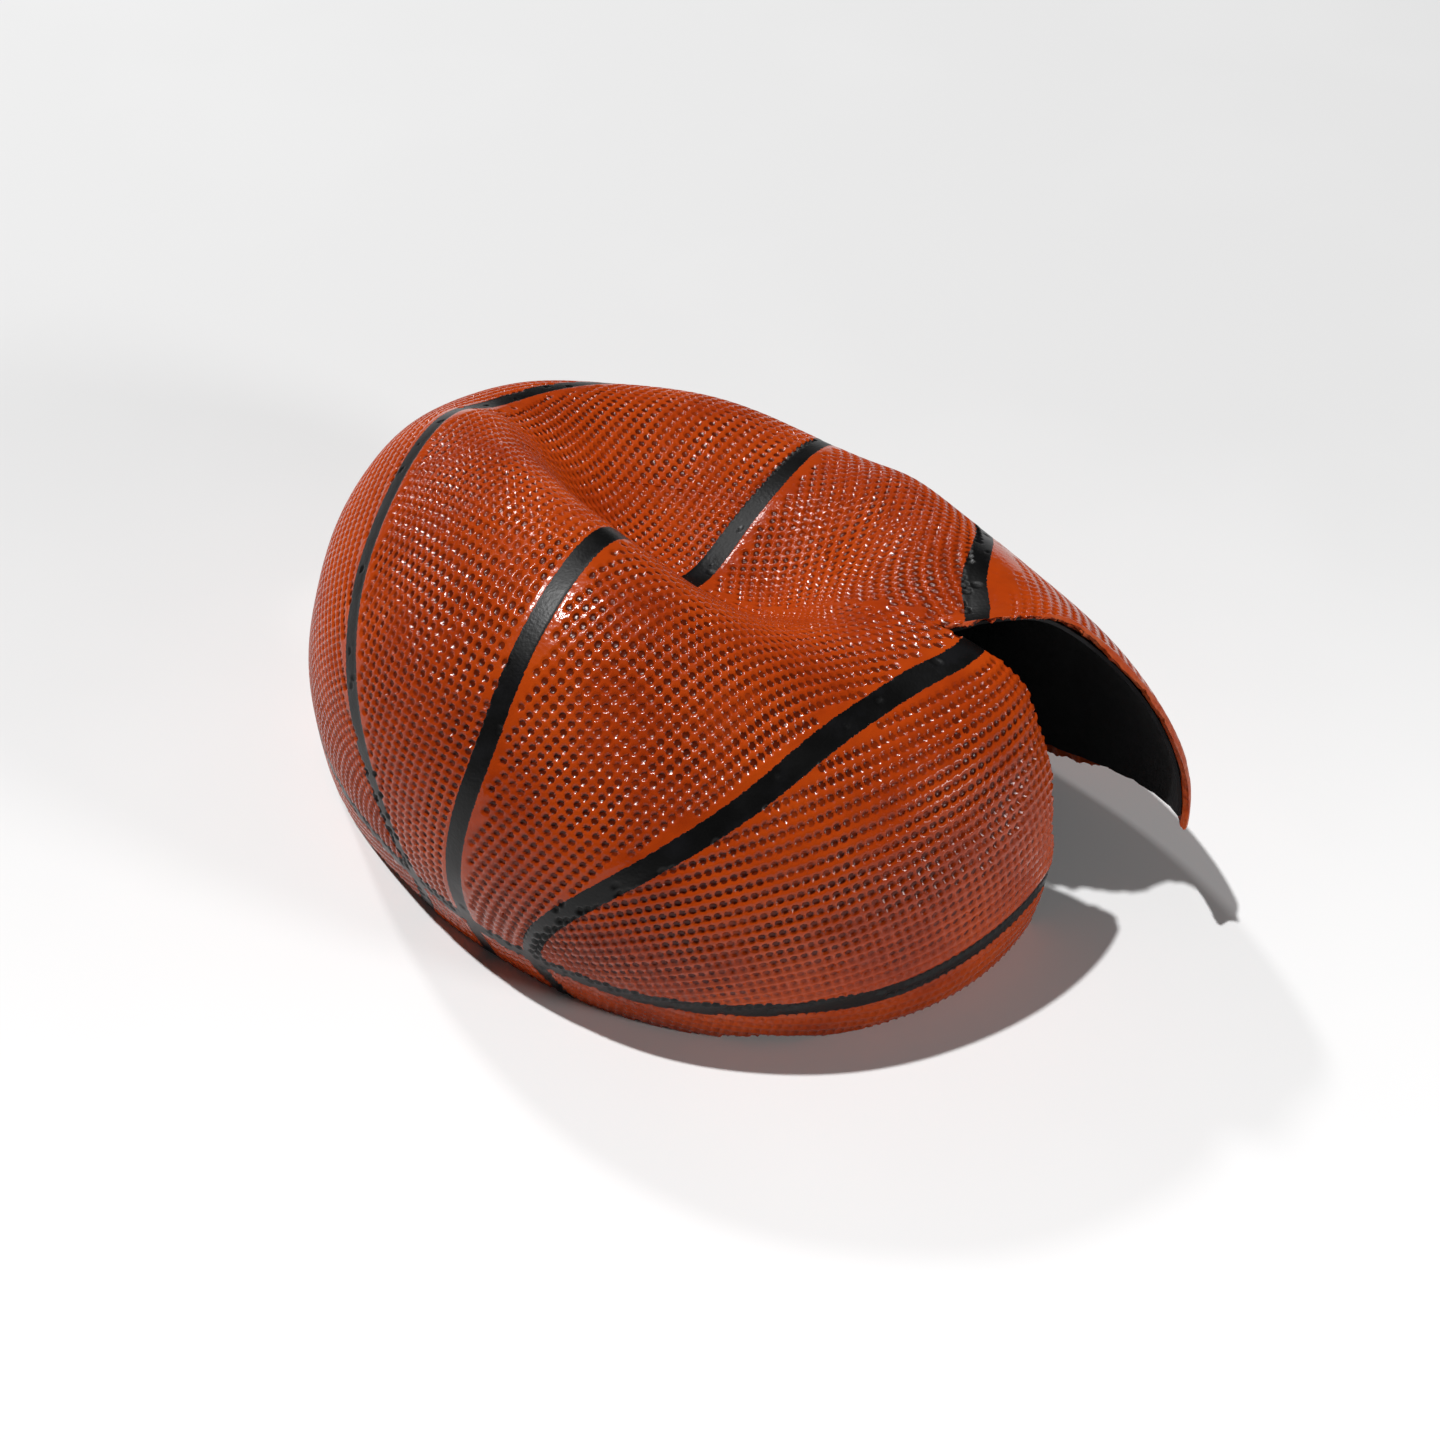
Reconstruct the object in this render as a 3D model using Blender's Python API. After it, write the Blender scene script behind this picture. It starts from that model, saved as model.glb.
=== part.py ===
"""A deflated basketball: the upper half of a moulded rubber ball, torn open and sunk in on itself.

The skin is described on the round ball first, by two angles.  Three outlines of the wall and three
cross-sections of the crown then say where it lies now, and a smooth map through their spots carries all
the rubber between them.  One tear runs up from the rim, and its back lip gapes open.

Angles are in degrees.  `turn` goes round the ball from the front (0) towards the tear (99), and then
down through 0 and the left end to the back lip of the tear (-261).  `fall` goes down from the crown (0)
to the old equator (90) and on to the torn rim (99).  Lengths are in millimetres until the last step,
which writes metres.
"""
import math

import bmesh
import bpy
import numpy as np
from mathutils import Matrix

# ---------------------------------------------------------------- driving dimensions

MM = 0.001
TEAR_TURN = 99.0            # the meridian that the tear follows
TEAR_TOP_FALL = 40.0        # how near the crown the tear ends
LIP_PARTING = 0.015         # how strongly the map parts the two lips, for each degree from the tear's top
RIM_FALL = 99.0             # mean place of the torn rim
FOOT_FALL, WAIST_FALL, SHOULDER_FALL = 99.0, 78.0, 57.0

COVER_THICKNESS = 2.6       # orange rubber
LINING_GAP = 0.3
LINING_THICKNESS = 1.1      # black inner ply
LINING_RIM_SHARE = 0.75     # how much of the lowest ring the lining covers
LINING_LIFT = 1.2           # lowest height of the lining
BOX_CENTRE = (1.6, 1.3, 0.0)  # middle of the finished part's box, moved to the origin

COLUMNS = 60                # steps round the ball
RINGS = 20                  # steps from the crown to the rim
FIRST_RING_FALL = 5.0
WANDER_START_FALL = 80.0    # above this the rings are even

COVER_ORANGE = (0.42, 0.085, 0.022, 1.0)
LINING_BLACK = (0.012, 0.012, 0.013, 1.0)

# A place below is (along the part's long axis, across it towards the back, height).
LONG_AXIS_HEADING = -28.0   # degrees from +X

# The wall follows three outlines.  Each runs from the front lip of the tear round the front, the left
# end and the back to the back lip.  Its corners are where it lies square to the axes, and a quarter of
# an ellipse leads from each to the next.
#                front lip       front           left end        back            back lip
FOOT_CORNERS = ((110, -8, -1), (8, -99, -2), (-151, 18, 7), (-66, 73, -1), (149, 15, -1))
WAIST_CORNERS = ((113, -6, 47), (5, -113, 46), (-142, 16, 55), (-52, 91, 36), (132, 20, 35))
SHOULDER_CORNERS = ((102, -5, 88), (-12, -101, 86), (-120, 10, 95), (-30, 92, 76), (100, 12, 77))
ROUND = 2.0
# How full the last run bulges: 2 is an ellipse, and less is flatter.
FOOT_FULLNESS, WAIST_FULLNESS, SHOULDER_FULLNESS = ROUND, 1.85, 1.6
# How far the wall has crept round towards the back at the left end, as a share of the outline.
FOOT_CREEP, WAIST_CREEP, SHOULDER_CREEP = -0.012, 0.014, 0.012
# How high the back lip curls up from its outline.
FOOT_CURL, WAIST_CURL, SHOULDER_CURL = 42.0, 44.0, 29.0
CURL_REACH = 80.0           # degrees of turn before the lip where the curl starts
CURL_SHARPNESS = 2.0
WALL_STATIONS = 16          # spots on each outline
RUN_STEPS = 40              # small steps from one corner to the next

# The crown is lofted through three cross-sections: at the left, in the middle and beside the tear.  Each
# is drawn as (degrees ahead of the crown, across, height) at its front brow, crest, crease floor, back
# slope and back brow.
SECTION_STEPS = (1, 3, 1, 1)                # even steps from each of them to the next
LEFT_SECTION = ((38, -65, 110), (6, 4, 115), (-10, 30, 97), (-25, 50, 94), (-40, 68, 89))
MIDDLE_SECTION = ((38, -74, 115), (22, -39, 126), (-10, 5, 79), (-25, 31, 84), (-40, 60, 88))
TEAR_SECTION = ((38, -75, 107), (24, -55, 107), (-10, 5, 100), (-25, 30, 105), (-40, 60, 95))
SECTION_MIDDLE = -16.0      # where the middle section lies along the long axis
SECTION_SLANT = -0.2        # how far it moves along for each degree ahead of the crown
SECTION_PACE = 1.95         # millimetres towards the tear for each degree
SECTION_REACH = 36.0        # degrees from the middle section to the others
CROWN_FALL = 43.0           # the crown's spots stay inside this fall
LOFT_SPOTS = 5              # spots from the left section to the one beside the tear
TEAR_TOP = (70, -2, 102)    # where the tear ends

# The torn edges wander: (height of the wave, waves per degree, phase) in degrees.
RIM_WAVES = ((1.1, 5.0, 40.0), (0.7, 11.0, 100.0))
LIP_WAVES = ((0.8, 9.0, 20.0), (0.5, 21.0, 70.0))


# ---------------------------------------------------------------- the map from ball to place

def ball_spots(turn, fall):
    """Unit directions on the round ball, with a fourth value that parts the two lips of the tear."""
    turn = np.asarray(turn, dtype=float)
    fall = np.asarray(fall, dtype=float)
    across, ahead = np.sin(np.radians(turn)), np.cos(np.radians(turn))
    low = np.sin(np.radians(fall))
    tear_across = math.sin(math.radians(TEAR_TURN))
    tear_ahead = math.cos(math.radians(TEAR_TURN))
    past_across = fall * across - TEAR_TOP_FALL * tear_across
    past_ahead = fall * ahead - TEAR_TOP_FALL * tear_ahead
    along = past_across * tear_across + past_ahead * tear_ahead
    aside = past_across * tear_ahead - past_ahead * tear_across
    swing = np.mod(np.arctan2(aside, along), 2 * math.pi)
    swing = np.where((turn > TEAR_TURN - 90) & (swing < math.pi / 2), swing + 2 * math.pi, swing)
    swing = np.where((turn < TEAR_TURN - 270) & (swing > 1.5 * math.pi), swing - 2 * math.pi, swing)
    parting = LIP_PARTING * np.hypot(along, aside) * np.cos(swing / 2)
    return np.stack([low * across, -low * ahead, np.cos(np.radians(fall)), parting], axis=-1)


def run_between(first, last, leaves_across, fullness):
    """Points in plan from one corner of an outline to the next, in small steps."""
    swing = np.linspace(0, math.pi / 2, RUN_STEPS)
    rise, run = np.sin(swing) ** (2 / fullness), np.cos(swing) ** (2 / fullness)
    shares = (1 - run, rise) if leaves_across else (rise, 1 - run)
    return np.column_stack([start + (end - start) * share for start, end, share in zip(first, last, shares)])


def outline(corners, last_fullness, creep, curl):
    """Spots of the wall at even steps along one outline, with their turns."""
    corners = np.array(corners, dtype=float)
    eased = (1 - np.cos(np.linspace(0, math.pi, RUN_STEPS))) / 2
    plan, heights = [], []
    for number, (first, last) in enumerate(zip(corners, corners[1:])):
        fullness = last_fullness if number == len(corners) - 2 else ROUND
        plan.append(run_between(first[:2], last[:2], number % 2 == 0, fullness))
        heights.append(first[2] + (last[2] - first[2]) * eased)
    plan, heights = np.vstack(plan), np.concatenate(heights)
    walked = np.concatenate([[0], np.cumsum(np.linalg.norm(np.diff(plan, axis=0), axis=1))])
    shares = np.linspace(0, 1, WALL_STATIONS)
    stops = walked[-1] * (shares + creep * np.sin(math.pi * shares))
    places = np.column_stack([np.interp(stops, walked, row) for row in (*plan.T, heights)])
    turns = TEAR_TURN - 360 * shares
    places[:, 2] += curl * np.clip(1 - (turns - turns[-1]) / CURL_REACH, 0, 1) ** CURL_SHARPNESS
    return turns, places


def drawn_section(section):
    """Degrees ahead, across-places and heights of one cross-section, with eased runs between its points."""
    rows = []
    for number, steps in enumerate(SECTION_STEPS):
        share = np.arange(steps) / steps
        eased = (1 - np.cos(math.pi * share)) / 2
        (ahead, across, height), (ahead_next, across_next, height_next) = section[number:number + 2]
        rows.append(np.column_stack([
            ahead + (ahead_next - ahead) * share,
            across + (across_next - across) * share,
            height + (height_next - height) * eased,
        ]))
    rows.append([section[-1]])
    return np.vstack(rows)


def crown_spots():
    """Spots of the crown, with their turns and falls."""
    left, middle, tearside = (drawn_section(s) for s in (LEFT_SECTION, MIDDLE_SECTION, TEAR_SECTION))
    share = np.linspace(-1, 1, LOFT_SPOTS)[:, None, None]
    loft = middle + share * (tearside - left) / 2 + share ** 2 * ((left + tearside) / 2 - middle)
    ahead, across, height = np.moveaxis(loft, -1, 0)
    reach = np.minimum(SECTION_REACH, np.sqrt(CROWN_FALL ** 2 - ahead ** 2))
    tearward = share[..., 0] * reach
    along = SECTION_MIDDLE + SECTION_SLANT * ahead + SECTION_PACE * tearward
    turn = np.degrees(np.arctan2(tearward, ahead))
    turn = np.where(turn > TEAR_TURN, turn - 360, turn)
    places = np.stack([along, across, height], axis=-1)
    return turn.ravel(), np.hypot(tearward, ahead).ravel(), places.reshape(-1, 3)


def part_axes():
    """The part's long axis, its cross axis and the upright, as rows."""
    heading = math.radians(LONG_AXIS_HEADING)
    return np.array([
        [math.cos(heading), math.sin(heading), 0.0],
        [-math.sin(heading), math.cos(heading), 0.0],
        [0.0, 0.0, 1.0],
    ])


def named_spots():
    """The spots of the outlines, the crown and the tear on the round ball, and their places now."""
    turns, falls, places = [[TEAR_TURN]], [[TEAR_TOP_FALL]], [[TEAR_TOP]]
    wall = (
        (FOOT_FALL, FOOT_CORNERS, FOOT_FULLNESS, FOOT_CREEP, FOOT_CURL),
        (WAIST_FALL, WAIST_CORNERS, WAIST_FULLNESS, WAIST_CREEP, WAIST_CURL),
        (SHOULDER_FALL, SHOULDER_CORNERS, SHOULDER_FULLNESS, SHOULDER_CREEP, SHOULDER_CURL),
    )
    for fall, *drawn in wall:
        turn, spots = outline(*drawn)
        turns.append(turn)
        falls.append(np.full(WALL_STATIONS, fall))
        places.append(spots)
    turn, fall, spots = crown_spots()
    turns.append(turn)
    falls.append(fall)
    places.append(spots)
    return ball_spots(np.concatenate(turns), np.concatenate(falls)), np.vstack(places) @ part_axes()


def distances_cubed(first, second):
    gaps = first[:, None, :] - second[None, :, :]
    return np.sqrt((gaps ** 2).sum(axis=2)) ** 3


def fit_map():
    """Weights of the smooth map: a cubic spline in space through every named spot."""
    spots, places = named_spots()
    count, width = spots.shape
    plane = np.column_stack([np.ones(count), spots])
    system = np.block([[distances_cubed(spots, spots), plane], [plane.T, np.zeros((width + 1, width + 1))]])
    right = np.vstack([places, np.zeros((width + 1, 3))])
    return spots, np.linalg.solve(system, right)


def place_skin(turn, fall, fitted):
    """Places in millimetres of the outer skin at these angles."""
    spots, weights = fitted
    here = ball_spots(turn, fall)
    plane = np.column_stack([np.ones(len(here)), here])
    return np.hstack([distances_cubed(here, spots), plane]) @ weights


def waves(angle, table):
    return sum(size * np.sin(np.radians(rate * angle + phase)) for size, rate, phase in table)


# ---------------------------------------------------------------- solids

def grid_angles():
    """Angles of the grid, ring by ring from the crown, with the torn edges wandering a little."""
    turns, falls = [], []
    for ring in range(RINGS + 1):
        level = FIRST_RING_FALL + (RIM_FALL - FIRST_RING_FALL) * ring / RINGS
        turn = TEAR_TURN - 360.0 * np.arange(COLUMNS + 1) / COLUMNS
        near_rim = max(0.0, (level - WANDER_START_FALL) / (RIM_FALL - WANDER_START_FALL))
        below_tear_top = max(0.0, level - TEAR_TOP_FALL) / (RIM_FALL - TEAR_TOP_FALL)
        drift = min(1.0, 4 * below_tear_top) * waves(level, LIP_WAVES)
        fall = level + near_rim * waves(turn, RIM_WAVES)
        turn[0] += drift
        turn[-1] -= drift
        turns.append(turn)
        falls.append(fall)
    return turns, falls


def tear_top_ring():
    """The ring on which the tear ends."""
    return round((TEAR_TOP_FALL - FIRST_RING_FALL) / (RIM_FALL - FIRST_RING_FALL) * RINGS)


def skin_sheet(fitted):
    """The outer skin as one open sheet of triangles, with the tear left open, and its rows of points."""
    mesh = bmesh.new()
    crown = mesh.verts.new(place_skin(np.array([0.0]), np.array([0.0]), fitted)[0])
    rows = []
    for ring, (turn, fall) in enumerate(zip(*grid_angles())):
        places = place_skin(turn, fall, fitted)
        row = [mesh.verts.new(place) for place in places[:COLUMNS]]
        row.append(row[0] if ring <= tear_top_ring() else mesh.verts.new(places[COLUMNS]))
        rows.append(row)
    for column in range(COLUMNS):
        mesh.faces.new((crown, rows[0][column + 1], rows[0][column]))
    for upper, lower in zip(rows, rows[1:]):
        for column in range(COLUMNS):
            mesh.faces.new((upper[column], upper[column + 1], lower[column + 1]))
            mesh.faces.new((upper[column], lower[column + 1], lower[column]))
    mesh.normal_update()
    return mesh, rows


def slid_to_height(above, rim, height):
    """The point of the straight line from above through rim that lies at this height."""
    return above.lerp(rim, (above.z - height) / (above.z - rim.z))


def trimmed_rim(above, rim, rim_share, floor_height):
    """The outer and inner end of the wall, cut level, and no lower than the floor height."""
    outer, inner = (high.lerp(low, rim_share) for high, low in zip(above, rim))
    height = max(outer.z, floor_height)
    return slid_to_height(above[0], outer, height), slid_to_height(above[1], inner, height)


def shell(fitted, outer_depth, inner_depth, rim_share, floor_height):
    """A closed solid between two depths under the skin, level along its rim.

    rim_share is how much of the last ring of triangles is kept, so that a ply can stop short.
    """
    mesh, rows = skin_sheet(fitted)
    sheet_faces = list(mesh.faces)
    sheet_edges = [edge for edge in mesh.edges if edge.is_boundary]
    under = {vert: (vert.co - vert.normal * outer_depth, vert.co - vert.normal * inner_depth)
             for vert in mesh.verts}
    for above, rim in zip(rows[-2], rows[-1]):
        under[rim] = trimmed_rim(under[above], under[rim], rim_share, floor_height)
    inner = {}
    for vert, (outer_place, inner_place) in under.items():
        vert.co = outer_place
        inner[vert] = mesh.verts.new(inner_place)
    for face in sheet_faces:
        mesh.faces.new([inner[vert] for vert in reversed(face.verts)])
    for edge in sheet_edges:
        loop = edge.link_loops[0]
        first, second = loop.vert, loop.link_loop_next.vert
        mesh.faces.new((second, first, inner[first]))
        mesh.faces.new((second, inner[first], inner[second]))
    bmesh.ops.transform(mesh, matrix=to_metres(), verts=mesh.verts)
    return mesh


def to_metres():
    """Shifts the part so that its box stands centred on the origin, and scales it to metres."""
    shift = Matrix.Translation([-value for value in BOX_CENTRE])
    return Matrix.Scale(MM, 4) @ shift


def rubber(name, colour, roughness):
    material = bpy.data.materials.new(name)
    material.use_nodes = True
    shader = material.node_tree.nodes["Principled BSDF"]
    shader.inputs["Base Color"].default_value = colour
    shader.inputs["Roughness"].default_value = roughness
    shader.inputs["Metallic"].default_value = 0.0
    material.diffuse_color = colour
    return material


def add_part(name, mesh, material):
    data = bpy.data.meshes.new(name)
    mesh.to_mesh(data)
    mesh.free()
    data.materials.append(material)
    data.shade_smooth()
    part = bpy.data.objects.new(name, data)
    bpy.context.scene.collection.objects.link(part)
    return part


def main():
    for stray in list(bpy.data.objects):
        bpy.data.objects.remove(stray)
    fitted = fit_map()
    cover = shell(fitted, 0.0, COVER_THICKNESS, 1.0, 0.0)
    add_part("cover", cover, rubber("moulded_rubber", COVER_ORANGE, 0.35))
    lining_top = COVER_THICKNESS + LINING_GAP
    lining = shell(fitted, lining_top, lining_top + LINING_THICKNESS, LINING_RIM_SHARE, LINING_LIFT)
    add_part("lining", lining, rubber("lining_ply", LINING_BLACK, 0.6))


main()
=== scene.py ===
"""The looks of a deflated rubber basketball, torn open and sunk in on itself.

The rubber is described on the round ball first, by two angles, and a smooth map then says where each
spot of it lies now.  The seams, the stripes and the pebbled grain are laid out on the round ball, as the
mould made them, and they follow the rubber into its folds.

Angles are in degrees: `turn` goes round the ball from the front lip of the tear (99) through the front
(0) and the left end to the back lip (-261), and `fall` goes down from the crown (0) to the torn rim (99).
Lengths are in millimetres, and only the finished meshes are in metres.
"""

import math

import bmesh
import bpy
import numpy as np
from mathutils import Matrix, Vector


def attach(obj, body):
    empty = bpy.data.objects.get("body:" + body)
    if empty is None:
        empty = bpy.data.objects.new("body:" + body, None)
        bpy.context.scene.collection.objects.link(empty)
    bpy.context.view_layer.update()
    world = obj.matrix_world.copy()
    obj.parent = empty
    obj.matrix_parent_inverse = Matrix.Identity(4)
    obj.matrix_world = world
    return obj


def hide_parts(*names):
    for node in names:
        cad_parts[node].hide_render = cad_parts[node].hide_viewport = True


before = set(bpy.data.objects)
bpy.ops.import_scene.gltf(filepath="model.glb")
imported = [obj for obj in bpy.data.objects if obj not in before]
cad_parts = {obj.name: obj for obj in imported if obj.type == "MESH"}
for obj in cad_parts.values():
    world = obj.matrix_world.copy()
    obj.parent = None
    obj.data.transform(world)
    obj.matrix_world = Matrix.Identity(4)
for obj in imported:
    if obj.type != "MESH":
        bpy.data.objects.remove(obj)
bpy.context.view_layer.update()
bpy.ops.object.select_all(action="DESELECT")

MM = 0.001
BALL_RADIUS = 119.0

# ---------------------------------------------------------------- the sunk shape, as the frame has it

TEAR_TURN = 99.0            # the meridian that the tear follows
TEAR_TOP_FALL = 40.0        # how near the crown the tear ends
LIP_PARTING = 0.015         # how strongly the map parts the two lips, for each degree from the tear's top
RIM_FALL = 99.0             # mean place of the torn rim
FOOT_FALL, WAIST_FALL, SHOULDER_FALL = 99.0, 78.0, 57.0

COVER_THICKNESS = 2.6       # orange rubber
LINING_GAP = 0.3
LINING_THICKNESS = 1.1      # black inner ply
LINING_LIFT = 1.2           # lowest height of the lining
BOX_CENTRE = (1.6, 1.3, 0.0)  # middle of the finished part's box, moved to the origin

WANDER_START_FALL = 80.0    # above this the rings are even

# A place below is (along the part's long axis, across it towards the back, height).
LONG_AXIS_HEADING = -28.0   # degrees from +X

# The wall follows three outlines.  Each runs from the front lip of the tear round the front, the left
# end and the back to the back lip.  Its corners are where it lies square to the axes, and a quarter of
# an ellipse leads from each to the next.
#                front lip       front           left end        back            back lip
FOOT_CORNERS = ((110, -8, -1), (8, -99, -2), (-151, 18, 7), (-66, 73, -1), (149, 15, -1))
WAIST_CORNERS = ((113, -6, 47), (5, -113, 46), (-142, 16, 55), (-52, 91, 36), (132, 20, 35))
SHOULDER_CORNERS = ((102, -5, 88), (-12, -101, 86), (-120, 10, 95), (-30, 92, 76), (100, 12, 77))
ROUND = 2.0
# How full the last run bulges: 2 is an ellipse, and less is flatter.
FOOT_FULLNESS, WAIST_FULLNESS, SHOULDER_FULLNESS = ROUND, 1.85, 1.6
# How far the wall has crept round towards the back at the left end, as a share of the outline.
FOOT_CREEP, WAIST_CREEP, SHOULDER_CREEP = -0.012, 0.014, 0.012
# How high the back lip curls up from its outline.
FOOT_CURL, WAIST_CURL, SHOULDER_CURL = 42.0, 44.0, 29.0
CURL_REACH = 80.0           # degrees of turn before the lip where the curl starts
CURL_SHARPNESS = 2.0
WALL_STATIONS = 16          # spots on each outline
RUN_STEPS = 40              # small steps from one corner to the next

# The crown is lofted through three cross-sections: at the left, in the middle and beside the tear.  Each
# is drawn as (degrees ahead of the crown, across, height) at its front brow, crest, crease floor, back
# slope and back brow.
SECTION_STEPS = (1, 3, 1, 1)                # even steps from each of them to the next
LEFT_SECTION = ((38, -65, 110), (6, 4, 115), (-10, 30, 97), (-25, 50, 94), (-40, 68, 89))
MIDDLE_SECTION = ((38, -74, 115), (22, -39, 126), (-10, 5, 79), (-25, 31, 84), (-40, 60, 88))
TEAR_SECTION = ((38, -75, 107), (24, -55, 107), (-10, 5, 100), (-25, 30, 105), (-40, 60, 95))
SECTION_MIDDLE = -16.0      # where the middle section lies along the long axis
SECTION_SLANT = -0.2        # how far it moves along for each degree ahead of the crown
SECTION_PACE = 1.95         # millimetres towards the tear for each degree
SECTION_REACH = 36.0        # degrees from the middle section to the others
CROWN_FALL = 43.0           # the crown's spots stay inside this fall
LOFT_SPOTS = 5              # spots from the left section to the one beside the tear
TEAR_TOP = (70, -2, 102)    # where the tear ends

# The torn edges wander: (height of the wave, waves per degree, phase) in degrees.
RIM_WAVES = ((1.1, 5.0, 40.0), (0.7, 11.0, 100.0))
LIP_WAVES = ((0.8, 9.0, 20.0), (0.5, 21.0, 70.0))


def ball_spots(turn, fall):
    """Unit directions on the round ball, with a fourth value that parts the two lips of the tear."""
    turn = np.asarray(turn, dtype=float)
    fall = np.asarray(fall, dtype=float)
    across, ahead = np.sin(np.radians(turn)), np.cos(np.radians(turn))
    low = np.sin(np.radians(fall))
    tear_across = math.sin(math.radians(TEAR_TURN))
    tear_ahead = math.cos(math.radians(TEAR_TURN))
    past_across = fall * across - TEAR_TOP_FALL * tear_across
    past_ahead = fall * ahead - TEAR_TOP_FALL * tear_ahead
    along = past_across * tear_across + past_ahead * tear_ahead
    aside = past_across * tear_ahead - past_ahead * tear_across
    swing = np.mod(np.arctan2(aside, along), 2 * math.pi)
    swing = np.where((turn > TEAR_TURN - 90) & (swing < math.pi / 2), swing + 2 * math.pi, swing)
    swing = np.where((turn < TEAR_TURN - 270) & (swing > 1.5 * math.pi), swing - 2 * math.pi, swing)
    parting = LIP_PARTING * np.hypot(along, aside) * np.cos(swing / 2)
    return np.stack([low * across, -low * ahead, np.cos(np.radians(fall)), parting], axis=-1)


def run_between(first, last, leaves_across, fullness):
    """Points in plan from one corner of an outline to the next, in small steps."""
    swing = np.linspace(0, math.pi / 2, RUN_STEPS)
    rise, run = np.sin(swing) ** (2 / fullness), np.cos(swing) ** (2 / fullness)
    shares = (1 - run, rise) if leaves_across else (rise, 1 - run)
    return np.column_stack([start + (end - start) * share for start, end, share in zip(first, last, shares)])


def outline(corners, last_fullness, creep, curl):
    """Spots of the wall at even steps along one outline, with their turns."""
    corners = np.array(corners, dtype=float)
    eased = (1 - np.cos(np.linspace(0, math.pi, RUN_STEPS))) / 2
    plan, heights = [], []
    for number, (first, last) in enumerate(zip(corners, corners[1:])):
        fullness = last_fullness if number == len(corners) - 2 else ROUND
        plan.append(run_between(first[:2], last[:2], number % 2 == 0, fullness))
        heights.append(first[2] + (last[2] - first[2]) * eased)
    plan, heights = np.vstack(plan), np.concatenate(heights)
    walked = np.concatenate([[0], np.cumsum(np.linalg.norm(np.diff(plan, axis=0), axis=1))])
    shares = np.linspace(0, 1, WALL_STATIONS)
    stops = walked[-1] * (shares + creep * np.sin(math.pi * shares))
    places = np.column_stack([np.interp(stops, walked, row) for row in (*plan.T, heights)])
    turns = TEAR_TURN - 360 * shares
    places[:, 2] += curl * np.clip(1 - (turns - turns[-1]) / CURL_REACH, 0, 1) ** CURL_SHARPNESS
    return turns, places


def drawn_section(section):
    """Degrees ahead, across-places and heights of one cross-section, with eased runs between its points."""
    rows = []
    for number, steps in enumerate(SECTION_STEPS):
        share = np.arange(steps) / steps
        eased = (1 - np.cos(math.pi * share)) / 2
        (ahead, across, height), (ahead_next, across_next, height_next) = section[number:number + 2]
        rows.append(np.column_stack([
            ahead + (ahead_next - ahead) * share,
            across + (across_next - across) * share,
            height + (height_next - height) * eased,
        ]))
    rows.append([section[-1]])
    return np.vstack(rows)


def crown_spots():
    """Spots of the crown, with their turns and falls."""
    left, middle, tearside = (drawn_section(s) for s in (LEFT_SECTION, MIDDLE_SECTION, TEAR_SECTION))
    share = np.linspace(-1, 1, LOFT_SPOTS)[:, None, None]
    loft = middle + share * (tearside - left) / 2 + share ** 2 * ((left + tearside) / 2 - middle)
    ahead, across, height = np.moveaxis(loft, -1, 0)
    reach = np.minimum(SECTION_REACH, np.sqrt(CROWN_FALL ** 2 - ahead ** 2))
    tearward = share[..., 0] * reach
    along = SECTION_MIDDLE + SECTION_SLANT * ahead + SECTION_PACE * tearward
    turn = np.degrees(np.arctan2(tearward, ahead))
    turn = np.where(turn > TEAR_TURN, turn - 360, turn)
    places = np.stack([along, across, height], axis=-1)
    return turn.ravel(), np.hypot(tearward, ahead).ravel(), places.reshape(-1, 3)


def part_axes():
    """The part's long axis, its cross axis and the upright, as rows."""
    heading = math.radians(LONG_AXIS_HEADING)
    return np.array([
        [math.cos(heading), math.sin(heading), 0.0],
        [-math.sin(heading), math.cos(heading), 0.0],
        [0.0, 0.0, 1.0],
    ])


def named_spots():
    """The spots of the outlines, the crown and the tear on the round ball, and their places now."""
    turns, falls, places = [[TEAR_TURN]], [[TEAR_TOP_FALL]], [[TEAR_TOP]]
    wall = (
        (FOOT_FALL, FOOT_CORNERS, FOOT_FULLNESS, FOOT_CREEP, FOOT_CURL),
        (WAIST_FALL, WAIST_CORNERS, WAIST_FULLNESS, WAIST_CREEP, WAIST_CURL),
        (SHOULDER_FALL, SHOULDER_CORNERS, SHOULDER_FULLNESS, SHOULDER_CREEP, SHOULDER_CURL),
    )
    for fall, *drawn in wall:
        turn, spots = outline(*drawn)
        turns.append(turn)
        falls.append(np.full(WALL_STATIONS, fall))
        places.append(spots)
    turn, fall, spots = crown_spots()
    turns.append(turn)
    falls.append(fall)
    places.append(spots)
    return ball_spots(np.concatenate(turns), np.concatenate(falls)), np.vstack(places) @ part_axes()


def distances_cubed(first, second):
    """Cubed distances between every spot of one list and every spot of another."""
    squares = (first ** 2).sum(1)[:, None] + (second ** 2).sum(1)[None, :] - 2 * first @ second.T
    return np.maximum(squares, 0.0) ** 1.5


def fit_map():
    """Weights of the smooth map: a cubic spline in space through every named spot."""
    spots, places = named_spots()
    count, width = spots.shape
    plane = np.column_stack([np.ones(count), spots])
    system = np.block([[distances_cubed(spots, spots), plane], [plane.T, np.zeros((width + 1, width + 1))]])
    right = np.vstack([places, np.zeros((width + 1, 3))])
    return spots, np.linalg.solve(system, right)


SPOTS, WEIGHTS = fit_map()
SPOTS_AT_ONCE = 40000


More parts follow.
